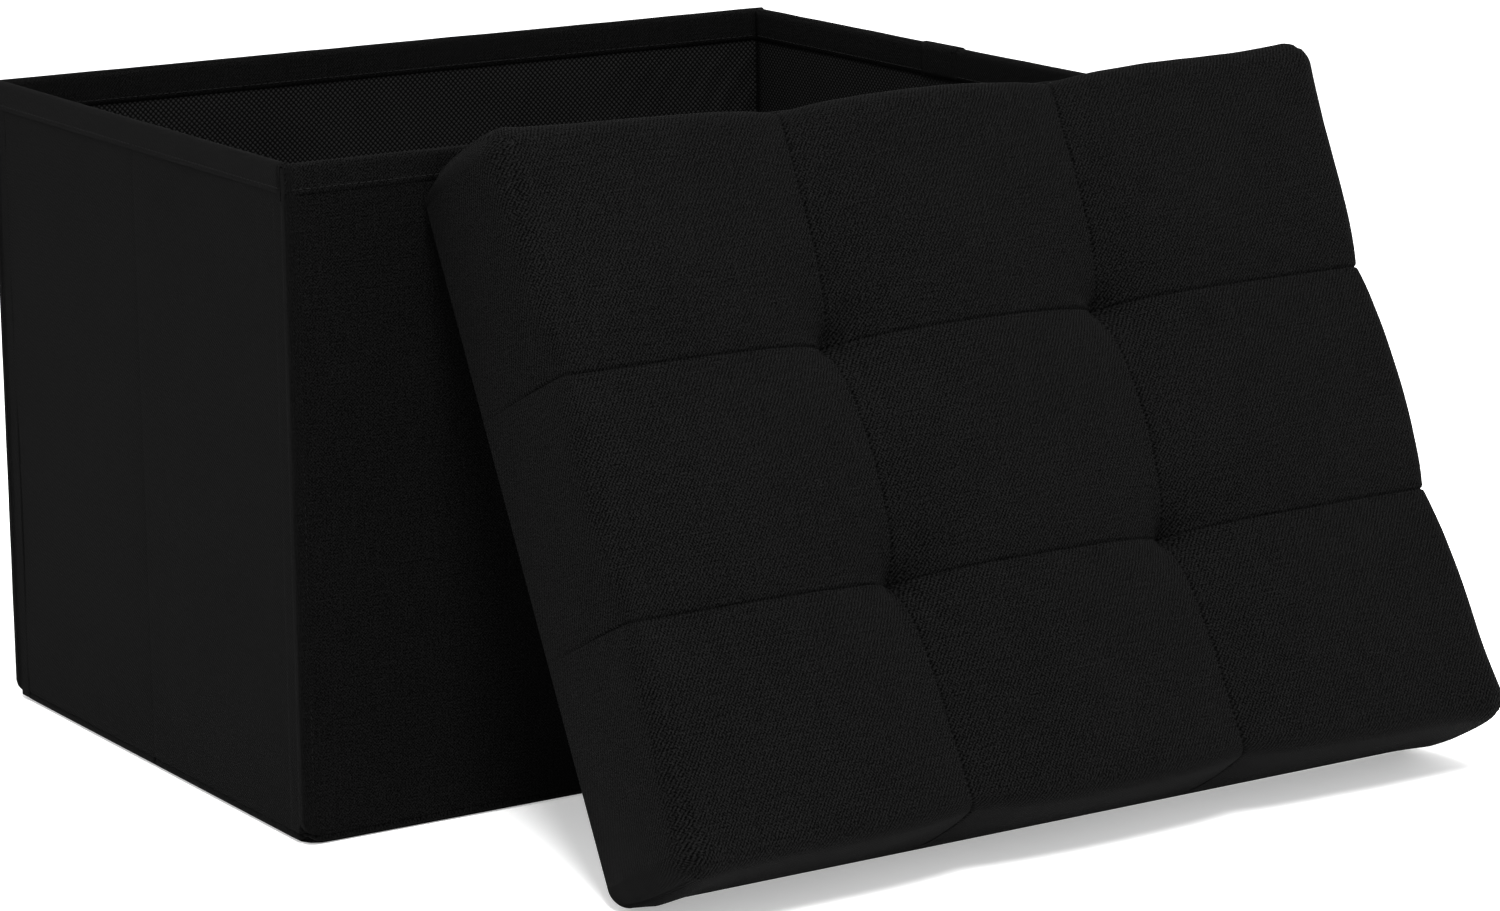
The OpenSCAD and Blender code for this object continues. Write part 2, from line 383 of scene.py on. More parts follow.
class Wrap:
    """Cloth wrapped round the face and edges of a flat block. (s, t) runs over the flattened
    cloth from the block's middle. The face is rounded into the sides with radius edge, seen
    from the front its corners have radius corner, and the cloth turns under by tuck."""

    def __init__(self, length, width, depth, edge, corner, under=0.0, tuck=0.0):
        self.half = (length / 2 - corner, width / 2 - corner)
        self.corner, self.edge, self.under, self.tuck = corner, edge, under, tuck
        self.side = depth - edge - under
        self.flat = corner - edge
        self.a1 = self.flat
        self.a2 = self.a1 + edge * math.pi / 2
        self.a3 = self.a2 + self.side
        self.a4 = self.a3 + under * math.pi / 2
        self.end = self.a4 + tuck

    def profile(self, a):
        """Distance out, height and outward direction (out, up) at a beyond the inner face."""
        if a <= self.a1:
            return a, 0.0, 0.0, 1.0
        if a <= self.a2:
            t = (a - self.a1) / self.edge
            sin, cos = math.sin(t), math.cos(t)
            return self.flat + self.edge * sin, self.edge * (cos - 1), sin, cos
        if a <= self.a3:
            return self.corner, -self.edge - (a - self.a2), 1.0, 0.0
        if a <= self.a4 and self.under:
            t = (a - self.a3) / self.under
            down = -self.edge - self.side
            return (
                self.corner - self.under * (1 - math.cos(t)),
                down - self.under * math.sin(t),
                math.cos(t),
                -math.sin(t),
            )
        return (
            self.corner - self.under - (a - self.a4),
            -self.edge - self.side - self.under,
            0.0,
            -1.0,
        )

    def at(self, s, t):
        """The point over the flattened cloth, and its outward normal: x, y over the face, z up."""
        q = [max(abs(s) - self.half[0], 0.0), max(abs(t) - self.half[1], 0.0)]
        a = max(q)
        out, up, n_out, n_up = self.profile(a)
        if a == 0:
            c, d = 0.0, 0.0
        elif q[1] == 0:
            c, d = 1.0, 0.0
        elif q[0] == 0:
            c, d = 0.0, 1.0
        else:
            angle = math.pi / 4 * q[1] / q[0] if q[1] <= q[0] else math.pi / 2 - math.pi / 4 * q[0] / q[1]
            c, d = math.cos(angle), math.sin(angle)
        sx, sy = math.copysign(1, s), math.copysign(1, t)
        x = sx * (min(abs(s), self.half[0]) + out * c)
        y = sy * (min(abs(t), self.half[1]) + out * d)
        return Vector((x, y, up)), Vector((sx * n_out * c, sy * n_out * d, n_up))

    def lines(self, which, step, fine_at=()):
        """Grid lines over one direction of the flattened cloth."""
        h = self.half[which]
        middle = spaced(-h, h, step, fine_at)
        band = []
        for a, b, n in (
            (0, self.a1, max(1, round(self.flat / step))),
            (self.a1, self.a2, 6),
            (self.a2, self.a3, max(1, round(self.side / step))),
            (self.a3, self.a4, 4 if self.under else 0),
            (self.a4, self.end, max(1, round(self.tuck / step)) if self.tuck else 0),
        ):
            if n and b - a > 1e-7:
                band += [a + (b - a) * (i + 1) / n for i in range(n)]
        return [-h - a for a in reversed(band)] + middle + [h + a for a in band]


# ---------------------------------------------------------------- walls


class WallFrame:
    """A wall's own axes: s along it, d from its outer face inward, z up."""

    def __init__(self, name, start, along, inward, length, bodies):
        self.name, self.length, self.bodies = name, length, bodies
        self.start = Vector((*start, 0))
        self.along = Vector((*along, 0))
        self.inward = Vector((*inward, 0))

    def at(self, s, d, z):
        p = self.start + self.along * s + self.inward * d
        return Vector((p.x, p.y, z))

    def attach(self, obj, reach=2.5 * MM):
        """Rides on the wall's body; on a wall in two halves it is left unparented, its placement baked into
        its mesh.
        """
        if len(self.bodies) == 1:
            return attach(obj, self.bodies[0])
        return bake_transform(obj)

    def halves(self):
        """(body, first s, last s) for each rigid part of the wall."""
        if len(self.bodies) == 1:
            return [(self.bodies[0], 0.0, self.length)]
        mid = self.length / 2
        return [(self.bodies[0], 0.0, mid - 0.2 * MM), (self.bodies[1], mid + 0.2 * MM, self.length)]


GAP = 0.3 * MM
END_START = HALF_DEPTH - WALL - GAP
END_LENGTH = 2 * END_START
LEFT_BODIES = ("left_rear_half", "left_front_half")
RIGHT_BODIES = ("right_front_half", "right_rear_half")
WALLS = [
    WallFrame("front", (-HALF_LENGTH, -HALF_DEPTH), (1, 0), (0, 1), 2 * HALF_LENGTH, ("front_wall",)),
    WallFrame("rear", (HALF_LENGTH, HALF_DEPTH), (-1, 0), (0, -1), 2 * HALF_LENGTH, ("rear_wall",)),
    WallFrame("left", (-HALF_LENGTH, END_START), (0, -1), (1, 0), END_LENGTH, LEFT_BODIES),
    WallFrame("right", (HALF_LENGTH, -END_START), (0, 1), (-1, 0), END_LENGTH, RIGHT_BODIES),
]
# radius of the rounded bottom corners of a long wall
CORNER = 7.5 * MM
COVER_FACE = 0.5 * MM
BINDING_OUT = 13 * MM
BINDING_IN = 16 * MM
# the rows of stitches stand this far above the binding's lower edges
STITCH_RISE = 2.2 * MM


def node_names(wall, ending):
    """The CAD nodes of one layer of a wall: one, or two where the wall is in halves."""
    if len(wall.bodies) == 1:
        return [f"{wall.name}_{ending}"]
    return [f"{wall.name}_rear_{ending}", f"{wall.name}_front_{ending}"]


def wall_cover(wall):
    """The outer linen: drawn tight over the board's face and turned round its edges."""
    bottom = CLOTH_TOP + 0.1 * MM if wall.name == "rear" else WALL_BOTTOM
    height = RIM - 0.7 * MM - bottom
    corner = CORNER if len(wall.bodies) == 1 else 2.2 * MM
    wrap = Wrap(wall.length + 0.4 * MM, height + 0.4 * MM, WALL - 1.1 * MM, 1.0 * MM, corner)
    mid = (0.0,) if len(wall.bodies) == 2 else ()
    s_lines = wrap.lines(0, 6 * MM, mid)
    t_lines = wrap.lines(1, 6 * MM)
    centre = (wall.length / 2, bottom + height / 2)
    points, uv = [], []
    seed = {"front": 1.3, "rear": 5.1, "left": 8.2, "right": 12.7}[wall.name]
    for s in s_lines:
        for t in t_lines:
            p, n = wrap.at(s, t)
            rise = 0.35 * MM * soft((s, t), 0.07, seed) + 0.12 * MM * soft((s, t), 0.02, seed)
            rise = min(rise, 0.1 * MM)
            if mid:
                # the crease: a fine line in a shallow, wide dip
                line = 0.16 * MM * math.exp(-((s / (0.9 * MM)) ** 2))
                rise -= line + 0.12 * MM * math.exp(-((s / (6 * MM)) ** 2))
            p = p + n * rise
            points.append(wall.at(centre[0] + p.x, COVER_FACE - p.z, centre[1] + p.y))
            uv.append((centre[0] + s, t))
    obj = mesh_object(f"{wall.name}_linen", points, grid_faces(len(s_lines), len(t_lines)), "linen", uv)
    face_outward(obj)
    middle = wall.at(wall.length / 2, 0, RIM / 2)
    face = min(obj.data.polygons, key=lambda f: (f.center - middle).length)
    if face.normal.dot(wall.inward) > 0:
        obj.data.flip_normals()
    thicken(obj, 0.6 * MM)
    flat = (s_lines[-1] - s_lines[0], t_lines[-1] - t_lines[0])
    return obj, flat


def lining_wrinkle(wall, s, z):
    """How far the lining stands off its board: slack drawn into folds near the rear right corner."""
    loose = 0.22 * MM * soft((s, z), 0.05, 3.7)
    if wall.name == "rear":
        # s runs from the right end of the rear wall
        near = math.exp(-((s / 0.095) ** 2)) * (0.35 + 0.65 * min(1, max(0, (z - 0.1) / 0.15)))
        lean = s * 0.82 - (RIM - z) * 0.57 + 0.012 * soft((s, z), 0.06, 9.1)
        folds = 0.5 + 0.5 * math.sin(lean * 2 * math.pi / 0.0135 + 2.2 * soft((s, z), 0.035, 4.4))
        free = min(1, max(0, (RIM - BINDING_IN - 1 * MM - z) / (10 * MM)))
        loose += 1.0 * MM * near * folds**1.6 * free * (0.6 + 0.6 * soft((s, z), 0.02, 6.6))
    return loose


def wall_lining(wall):
    """The non-woven lining on the inside of the board."""
    bottom = CLOTH_TOP + 0.3 * MM if wall.name == "rear" else WALL_BOTTOM + 0.2 * MM
    top = RIM - 1.2 * MM
    # a long wall's lining runs on a little behind the end walls
    low = WALL - 1.5 * MM if wall.name in ("front", "rear") else 0.1 * MM
    mid = (wall.length / 2,) if len(wall.bodies) == 2 else ()
    step = 2.4 * MM if wall.name == "rear" else 6 * MM
    s_lines = spaced(low, wall.length - low, step, mid)
    z_lines = spaced(bottom, top, step)
    face = WALL - 0.55 * MM
    points, uv = [], []
    for s in s_lines:
        for z in z_lines:
            rise = lining_wrinkle(wall, s, z)
            if mid:
                rise = min(rise, 0.1 * MM) - 0.3 * MM * math.exp(-(((s - mid[0]) / (1.5 * MM)) ** 2))
            points.append(wall.at(s, face + rise, z))
            uv.append((s, z))
    faces = grid_faces(len(s_lines), len(z_lines))
    obj = mesh_object(f"{wall.name}_inner_lining", points, faces, "nonwoven", uv)
    show_face(obj, wall.inward)
    thicken(obj, 0.35 * MM)
    return obj, (s_lines[-1] - s_lines[0], top - bottom)


def binding_profile():
    """The folded tape in section, as (d, z, cloth length) round its outside and back inside."""
    t = 0.62 * MM
    r = WALL / 2
    outside, inside = [], []
    lower_out, lower_in = RIM - BINDING_OUT, RIM - BINDING_IN
    for i in range(7):
        z = lower_out + (RIM - r - lower_out) * i / 6
        roll = 0.12 * MM if i == 0 else 0.0
        outside.append((roll, z))
        inside.append((t, z))
    for i in range(1, 9):
        a = math.pi * i / 9
        # a flattened turn over the board's edge
        outside.append((r - r * math.cos(a), RIM - r + r * math.sin(a) ** 0.72))
        inside.append((r - (r - t) * math.cos(a), RIM - r + (r - t) * math.sin(a) ** 0.72))
    for i in range(7):
        z = RIM - r - (RIM - r - lower_in) * i / 6
        roll = 0.12 * MM if i == 6 else 0.0
        outside.append((WALL - roll, z))
        inside.append((WALL - t, z))
    return outside + inside[::-1]


def wall_binding(wall, low, high, name, swell=0.0, extra=0.0):
    """The tape folded over the rim from s = low to s = high, as one closed strip."""
    section = binding_profile()
    mid = (wall.length / 2,) if len(wall.bodies) == 2 and low < wall.length / 2 < high else ()
    s_lines = spaced(low, high, 5 * MM, mid)
    points, uv = [], []
    run = [0.0]
    for (d0, z0), (d1, z1) in zip(section, section[1:]):
        run.append(run[-1] + math.hypot(d1 - d0, z1 - z0))
    centre = (WALL / 2, RIM - 8 * MM)
    for s in s_lines:
        for (d, z), u in zip(section, run):
            away = Vector((d - centre[0], z - centre[1]))
            away = away.normalized() if away.length > 1e-9 else away
            wave = 0.10 * MM * soft((s, z), 0.018, 2.2) + 0.14 * MM * soft((s, z), 0.06, 6.2)
            # the row of stitches pulls the tape in near its lower edges
            outer = d < WALL / 2
            line = (RIM - BINDING_OUT if outer else RIM - BINDING_IN) + STITCH_RISE
            pull = -0.16 * MM * math.exp(-(((z - line) / (1.0 * MM)) ** 2))
            side = -1 if outer else 1
            near_end = min(s - low, high - s)
            ease = 0.0 if near_end > 1.5 * MM else 0.25 * MM * (1 - near_end / (1.5 * MM))
            dd = d + side * (wave * 0.5 + pull + swell - ease)
            zz = z + (wave + swell + extra if z > RIM - WALL / 2 else 0.6 * wave)
            points.append(wall.at(s, dd, zz))
            uv.append((s, u))
    rows, columns = len(s_lines), len(section)
    faces = tube_faces(rows, columns, capped=False)
    # each end is closed with quads across the fold
    half = columns // 2
    for i in (0, rows - 1):
        for k in range(half - 1):
            a, b = i * columns + k, i * columns + k + 1
            c, d = i * columns + columns - 2 - k, i * columns + columns - 1 - k
            faces.append((a, b, c, d))
    obj = mesh_object(name, points, faces, "binding_tape", uv)
    face_outward(obj)
    return obj


def stitch_row(name, path, normal, pitch=3.3 * MM, length=2.5 * MM, radius=0.19 * MM):
    """A row of thread stitches along a straight or curved path of points, lying on its surface."""
    points, faces, uv = [], [], []
    ring = 6
    # each stitch dips into the cloth at both ends: (share of its length, drop, thickness)
    sections = ((0, -0.9, 0.35), (0.12, -0.1, 0.9), (0.5, 0.25, 1.0), (0.88, -0.1, 0.9), (1, -0.9, 0.35))
    distance = [0.0]
    for a, b in zip(path, path[1:]):
        distance.append(distance[-1] + (b - a).length)

    def along(x):
        for i in range(len(path) - 1):
            if x <= distance[i + 1] or i == len(path) - 2:
                span = distance[i + 1] - distance[i]
                f = (x - distance[i]) / span if span else 0
                return path[i].lerp(path[i + 1], f), (path[i + 1] - path[i]).normalized()

    count = int((distance[-1] - length) / pitch) + 1
    for i in range(count):
        start = i * pitch + 0.25 * MM
        first = len(points)
        _, direction = along(start + length / 2)
        side = direction.cross(normal).normalized()
        for f, drop, r in sections:
            p, _ = along(start + f * length)
            for k in range(ring):
                a = 2 * math.pi * k / ring
                across = side * radius * r * 1.15 * math.cos(a)
                points.append(p + normal * radius * (drop + r * math.sin(a)) + across)
                uv.append((start + f * length, k * 0.0002))
        faces += tube_faces(len(sections), ring, first)
    obj = mesh_object(name, points, faces, "thread", uv)
    return face_outward(obj)


def wall_stitches(wall):
    """The two rows of stitches that hold the rim binding, on each rigid part of a wall."""
    made = []
    for body, low, high in wall.halves():
        for label, depth, z, out in (
            ("outer", 0.0, RIM - BINDING_OUT + STITCH_RISE, -wall.inward),
            ("inner", WALL, RIM - BINDING_IN + STITCH_RISE, wall.inward),
        ):
            inner_end = WALL + 1 * MM if label == "inner" and len(wall.bodies) == 1 else 2 * MM
            a = low + (inner_end if low == 0 else 0.8 * MM)
            b = high - (inner_end if high == wall.length else 0.8 * MM)
            drop = -0.10 * MM if label == "outer" else 0.10 * MM
            path = [wall.at(a + (b - a) * i / 8, depth - drop, z) for i in range(9)]
            obj = stitch_row(f"{body}_{label}_stitches", path, out)
            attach(obj, body)
            made.append(obj)
    return made


def bottom_roll(wall):
    """The rolled hem along the bottom of each wall, down to the bottom cloth."""
    r = 1.5 * MM
    bottom = CLOTH_TOP + 0.1 * MM
    top = WALL_BOTTOM + 1.2 * MM
    d0, d1 = 0.52 * MM, WALL - 0.6 * MM
    section = []
    upper = 0.6 * MM
    for cx, cz, start in (
        (d1 - r, top - upper, 0),
        (d0 + r, top - upper, 90),
        (d0 + r, bottom + r, 180),
        (d1 - r, bottom + r, 270),
    ):
        rr = upper if start < 180 else r
        for i in range(5):
            a = math.radians(start + 90 * i / 4)
            section.append((cx + rr * math.cos(a), cz + rr * math.sin(a)))
    made = []
    for body, low, high in wall.halves():
        a = low + (1.2 * MM if low == 0 else 0.1 * MM)
        b = high - (1.2 * MM if high == wall.length else 0.1 * MM)
        s_lines = spaced(a, b, 7 * MM, (a, b), 1 * MM)
        points, uv = [], []
        for i, s in enumerate(s_lines):
            tight = 0.86 if i in (0, len(s_lines) - 1) else 1.0
            # an end at the crease is not rounded
            from_end = min(s - a if low == 0 else 1, b - s if high == wall.length else 1)
            # rounded up to the corner, as the cover above it is
            turn = 8 * MM if len(wall.bodies) == 1 else 2 * MM
            inward = max(0, 1 - from_end / turn)
            lifted = min(3.4 * MM, turn * (1 - math.sqrt(1 - inward**2)))
            for k, (d, z) in enumerate(section):
                z = top - (top - z) * (1 - lifted / (top - bottom))
                cd, cz = (d0 + d1) / 2, (top + bottom) / 2
                wave = 1 + 0.05 * soft((s, z), 0.03, 7.7)
                points.append(wall.at(s, cd + (d - cd) * tight * wave, cz + (z - cz) * tight))
                uv.append((s, k * 0.0009))
        faces = tube_faces(len(s_lines), len(section))
        obj = face_outward(mesh_object(f"{body}_bottom_hem", points, faces, "linen", uv))
        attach(obj, body)
        if wall.name != "rear":
            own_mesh(obj)
        made.append(obj)
    return made


def wall_panels(wall):
    """The stiff boards inside the wall, their sawn edges eased, kept back inside the cloth."""
    nodes = sorted(node_names(wall, "board"), key=lambda n: body_order(wall, n))
    for node, (body, low, high) in zip(nodes, wall.halves()):
        bottom = (CLOTH_TOP if wall.name == "rear" else WALL_BOTTOM) + 0.6 * MM
        bm = bmesh.new()
        corners = {}
        for i, s in enumerate((low + 0.5 * MM, high - 0.5 * MM)):
            for j, d in enumerate((1.35 * MM, WALL - 1.05 * MM)):
                for k, z in enumerate((bottom, RIM - 1.0 * MM)):
                    corners[i, j, k] = bm.verts.new(wall.at(s, d, z))
        for axis in range(3):
            for side in (0, 1):
                ring = []
                for a, b in ((0, 0), (1, 0), (1, 1), (0, 1)):
                    key = [a, b]
                    key.insert(axis, side)
                    ring.append(corners[tuple(key)])
                bm.faces.new(ring)
        bmesh.ops.recalc_face_normals(bm, faces=bm.faces)
        through = []
        for e in bm.edges:
            run = (e.verts[0].co - e.verts[1].co).normalized()
            if abs(run.dot(wall.inward)) > 0.9:
                through.append(e)
        cut = 6.5 * MM if len(wall.bodies) == 1 else 1.5 * MM
        bmesh.ops.bevel(bm, geom=through, offset=cut, segments=4, affect="EDGES", profile=0.5)
        rims = [e for e in bm.edges if e.calc_face_angle(0) > 1.2]
        bmesh.ops.bevel(bm, geom=rims, offset=0.45 * MM, segments=2, affect="EDGES", profile=0.5)
        mesh = bpy.data.meshes.new(f"{node}_panel")
        bm.to_mesh(mesh)
        bm.free()
        mesh.uv_layers.new(name="cloth")
        mesh.materials.append(MATERIAL["fibreboard"])
        obj = bpy.data.objects.new(f"{node}_panel", mesh)
        bpy.context.scene.collection.objects.link(obj)
        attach(obj, body)
        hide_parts(node)


def set_in(above):
    """How far a long wall's end is set in at a height above its bottom, where its corner is rounded."""
    if above >= CORNER:
        return 0.0
    return CORNER - math.sqrt(CORNER**2 - (CORNER - above) ** 2)


def body_order(wall, node):
    """Which of the wall's bodies a board belongs to, in order along the wall."""
    return 0 if len(wall.bodies) == 1 else wall.bodies.index(node.replace("_board", "_half"))


def corner_gusset(name, bodies, x_side, y_side):
    """The strip of linen that joins an end wall to the end of a long wall, round the outside."""
    outer = 147.0 * MM
    width = 11.5 * MM
    x_wall, x_end = HALF_LENGTH - COVER_FACE, HALF_LENGTH
    seam = HALF_DEPTH - WALL
    low = (CLOTH_TOP if y_side > 0 else WALL_BOTTOM) + 0.8 * MM
    z_lines = spaced(low, RIM - 1.6 * MM, 6 * MM, (low,), 0.7 * MM)
    runs = spaced(0, width, 1.2 * MM, (outer - seam,), 0.3 * MM)
    points, uv = [], []
    for z in z_lines:
        for run in runs:
            y = outer - run
            f = min(1, max(0, (y - seam + 0.6 * MM) / (1.2 * MM)))
            edge = min(run, width - run)
            lift = 0.28 * MM * min(1, edge / (1.5 * MM)) + 0.05 * MM * soft((run, z), 0.02, 3.1) - 0.06 * MM
            x = x_wall * (1 - f) + (x_end - set_in(z - low + 0.8 * MM)) * f
            points.append((x_side * (x + lift), y_side * y, z))
            uv.append((run, z))
    obj = mesh_object(name, points, grid_faces(len(z_lines), len(runs)), "linen", uv)
    show_face(obj, (x_side, 0, 0))
    thicken(obj, 0.35 * MM)
    if len(bodies) == 2:
        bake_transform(obj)
    else:
        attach(obj, bodies[0])


def corner_welt(wall, at_start):
    """The seam allowance turned round the narrow end of a long wall: a flat welt up the corner,
    6 mm on to the wall's face, with a stitched groove along its edge."""
    out = -1 if at_start else 1
    end = 0.0 if at_start else wall.length
    t = 0.55 * MM
    face = 6.2 * MM
    turn = 1.3 * MM
    groove = face - 1.6 * MM
    path = []
    # in section, from the wall's face round the corner and across its narrow end:
    # (s inward from the end, d, outward direction)
    for i in range(8):
        path.append((face - (face - turn) * i / 7, COVER_FACE, (0, -1)))
    for i in range(1, 6):
        a = math.pi / 2 * i / 6
        sin, cos = math.sin(a), math.cos(a)
        path.append((turn - turn * sin, COVER_FACE + turn - turn * cos, (-sin, -cos)))
    for i in range(5):
        path.append((0.0, COVER_FACE + turn + (WALL - 2.2 * MM - COVER_FACE) * i / 4, (-1, 0)))
    low = (CLOTH_TOP if wall.name == "rear" else WALL_BOTTOM) + 0.8 * MM
    z_lines = spaced(low, RIM - 1.4 * MM, 6 * MM, (low,), 0.7 * MM)
    points, uv = [], []
    n = len(path)
    for z in z_lines:
        for layer in (0, 1):
            order = range(n) if layer == 0 else reversed(range(n))
            for k in order:
                s, d, (ns, nd) = path[k]
                edge = min(k, n - 1 - k)
                lift = -0.15 * MM
                if layer == 0:
                    lift = t * (0.55 if edge == 0 else 1.0) + 0.10 * MM * soft((z, k), 0.02, 1.9)
                    if d <= COVER_FACE + 1e-6:
                        lift -= 0.28 * MM * math.exp(-(((s - groove) / (0.7 * MM)) ** 2))
                # follows the wall's rounded bottom corner
                inset = set_in(z - low + 0.8 * MM)
                points.append(wall.at(end - out * (s + inset + ns * lift), d + nd * lift, z))
                uv.append((k * 0.001, z))
    m = 2 * n
    faces = tube_faces(len(z_lines), m, capped=False)
    for i in (0, len(z_lines) - 1):
        for k in range(n - 1):
            faces.append((i * m + k, i * m + k + 1, i * m + m - 2 - k, i * m + m - 1 - k))
    # the front wall starts at its left end, and the rear wall at its right
    side = f"{wall.name}_{'left' if (wall.name == 'front') == at_start else 'right'}"
    obj = face_outward(mesh_object(f"{side}_corner_welt", points, faces, "linen", uv))
    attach(obj, wall.bodies[0])
    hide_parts(f"{side}_corner_strip")
    first, last = low + 8 * MM, RIM - BINDING_OUT - 2 * MM
    seam = [
        wall.at(end - out * groove, COVER_FACE - 0.12 * MM, first + (last - first) * i / 6)
        for i in range(7)
    ]
    row = stitch_row(
        f"{side}_corner_stitches",
        seam,
        -wall.inward,
        pitch=3.6 * MM,
        length=2.6 * MM,
        radius=0.2 * MM,
    )
    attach(row, wall.bodies[0])
    return obj, row


for wall in WALLS:
    cover, cover_flat = wall_cover(wall)
    wall.attach(cover)
    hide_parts(*node_names(wall, "cover"))
    lining, lining_flat = wall_lining(wall)
    wall.attach(lining, reach=4 * MM)
    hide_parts(*node_names(wall, "lining"))
    over = 0.7 * MM if len(wall.bodies) == 1 else 0.15 * MM
    binding = wall_binding(wall, -over, wall.length + over, f"{wall.name}_rim_binding")
    wall.attach(binding)
    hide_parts(*node_names(wall, "binding"))
    on_cover = [binding, *wall_stitches(wall), *bottom_roll(wall)]
    if wall.name in ("front", "rear"):
        on_cover += [*corner_welt(wall, True), *corner_welt(wall, False)]
    if wall.name == "right":
        mid = wall.length / 2
        lap = wall_binding(
            wall, mid - 36 * MM, mid - 6 * MM, "rim_binding_lap", swell=0.42 * MM, extra=0.15 * MM
        )
        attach(lap, "right_front_half")
        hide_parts("binding_lap")
        on_cover.append(lap)
    wall_panels(wall)

corner_gusset("front_left_gusset", ("front_wall", "left_front_half"), -1, -1)
corner_gusset("rear_left_gusset", ("rear_wall", "left_rear_half"), -1, 1)
corner_gusset("rear_right_gusset", ("rear_wall", "right_rear_half"), 1, 1)
corner_gusset("front_right_gusset", ("front_wall",), 1, -1)

# ---------------------------------------------------------------- bottom


def flat_cloth(name, low, high, z, thickness, up=1, slack=0.15 * MM, inset=0.0, radius=0.0):
    """A level sheet from corner low to corner high whose shown face is at z."""
    xs = spaced(low[0] + inset, high[0] - inset, 7 * MM)
    ys = spaced(low[1] + inset, high[1] - inset, 7 * MM)
    points, uv = [], []
    for x in xs:
        for y in ys:
            px, py = x, y
            dx, dy = abs(x) - (xs[-1] - radius), abs(y) - (ys[-1] - radius)
            if radius and dx > 0 and dy > 0:
                # corners of the square grid are drawn in on to a quarter circle
                pull = max(dx, dy) / math.hypot(dx, dy)
                px = math.copysign(xs[-1] - radius + dx * pull, x)
                py = math.copysign(ys[-1] - radius + dy * pull, y)
            points.append((px, py, z - up * slack * (0.5 + 0.5 * soft((px, py), 0.05, 1.1))))
            uv.append((px, py))
    obj = mesh_object(name, points, grid_faces(len(xs), len(ys)), "nonwoven", uv)
    show_face(obj, (0, 0, up))
    thicken(obj, thickness)
    return obj, (xs[-1] - xs[0], ys[-1] - ys[0])


cloth, flat = flat_cloth(
    "bottom_lining",
    CLOTH_LOW,
    CLOTH_HIGH,
    0.05 * MM,
    0.6 * MM,
    up=-1,
    slack=0.05 * MM,
    inset=2.2 * MM,
    radius=9 * MM,
)
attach(cloth, "rear_wall")
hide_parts("bottom_cloth")

base_cloth, flat = flat_cloth("base_cloth", BASE_LOW, BASE_HIGH, BASE_TOP, 0.3 * MM)
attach(base_cloth, "base")
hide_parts("base_cover")


def pull_ribbon():
    """A flat ribbon on the base, with a stitched box at the end that is sewn down."""
    low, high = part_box("pull_ribbon")
    xs = spaced(low.x, high.x, 2.5 * MM)
    ys = spaced(low.y, high.y, 2.5 * MM)
    points, uv = [], []
    for x in xs:
        for y in ys:
            edge = min(y - low.y, high.y - y)
            thin = 0.12 * MM * math.exp(-edge / (0.8 * MM))
            z = low.z + 0.32 * MM - thin + 0.08 * MM * soft((x, y), 0.02, 5)
            points.append((x, y, z))
            uv.append((x, y))
    ribbon = mesh_object("base_pull_ribbon", points, grid_faces(len(xs), len(ys)), "ribbon", uv)
    show_face(ribbon, (0, 0, 1))
    thicken(ribbon, 0.25 * MM)
    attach(ribbon, "base")
    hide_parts("pull_ribbon")
    a, b = low.x + 2.5 * MM, low.x + 20 * MM
    c, d = low.y + 2.5 * MM, high.y - 2.5 * MM
    z = low.z + 0.36 * MM
    corners = [Vector((a, c, z)), Vector((b, c, z)), Vector((b, d, z)), Vector((a, d, z)), Vector((a, c, z))]
    box = stitch_row("ribbon_box_stitches", corners, Vector((0, 0, 1)), radius=0.14 * MM)
    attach(box, "base")


pull_ribbon()

# ---------------------------------------------------------------- lid


def relax_pad(wrap, tufts, cells):
    """The tufted top as tight cloth over foam: where each point of the flattened cloth is drawn
    in to. Cloth tension spreads the pull of the tufts and seams, and the foam resists it.
    Returns the grid lines in both directions and the depth below the untufted pad."""
    step = (tufts[0] / cells[0], tufts[1] / cells[1])
    count = [int((wrap.half[i] + wrap.end) / step[i]) for i in (0, 1)]
    s = np.arange(-count[0], count[0] + 1) * step[0]
    t = np.arange(-count[1], count[1] + 1) * step[1]
    h = (step[0] + step[1]) / 2
    reach = 30 * MM
    foam = 1.0 / reach**2
    # how far each line is down the pad's side, and how much the seams pull there
    side_s = np.clip((np.abs(s) - wrap.half[0] - wrap.a1) / (wrap.a3 - wrap.a1), 0, 1)
    side_t = np.clip((np.abs(t) - wrap.half[1] - wrap.a1) / (wrap.a3 - wrap.a1), 0, 1)
    on_side = np.maximum(side_s[:, None], side_t[None, :])
    load = -(0.075 / reach) * (1 - 0.6 * on_side)
    seam = 0.50
    for k in (-1, 1):
        load[count[0] + k * cells[0], :] += seam / h * np.clip(1 - 1.15 * side_t, 0.12, 1)
        load[:, count[1] + k * cells[1]] += seam / h * np.clip(1 - 1.15 * side_s, 0.12, 1)
    depth = np.zeros_like(load)
    pull = 27 * MM
    for _ in range(1400):
        new = np.zeros_like(depth)
        around = depth[:-2, 1:-1] + depth[2:, 1:-1] + depth[1:-1, :-2] + depth[1:-1, 2:]
        new[1:-1, 1:-1] = (around / h**2 + load[1:-1, 1:-1]) / (4 / h**2 + foam)
        for a in (-1, 1):
            for b in (-1, 1):
                i, j = count[0] + a * cells[0], count[1] + b * cells[1]
                new[i - 1 : i + 2, j - 1 : j + 2] = np.maximum(new[i - 1 : i + 2, j - 1 : j + 2], 0.88 * pull)
                new[i, j] = 0.95 * pull
        depth = new
    # the cloth is stapled under the board, so nothing is drawn in at its lower edge
    depth *= np.clip((1 - on_side) * 2.2, 0, 1)
    return s, t, depth


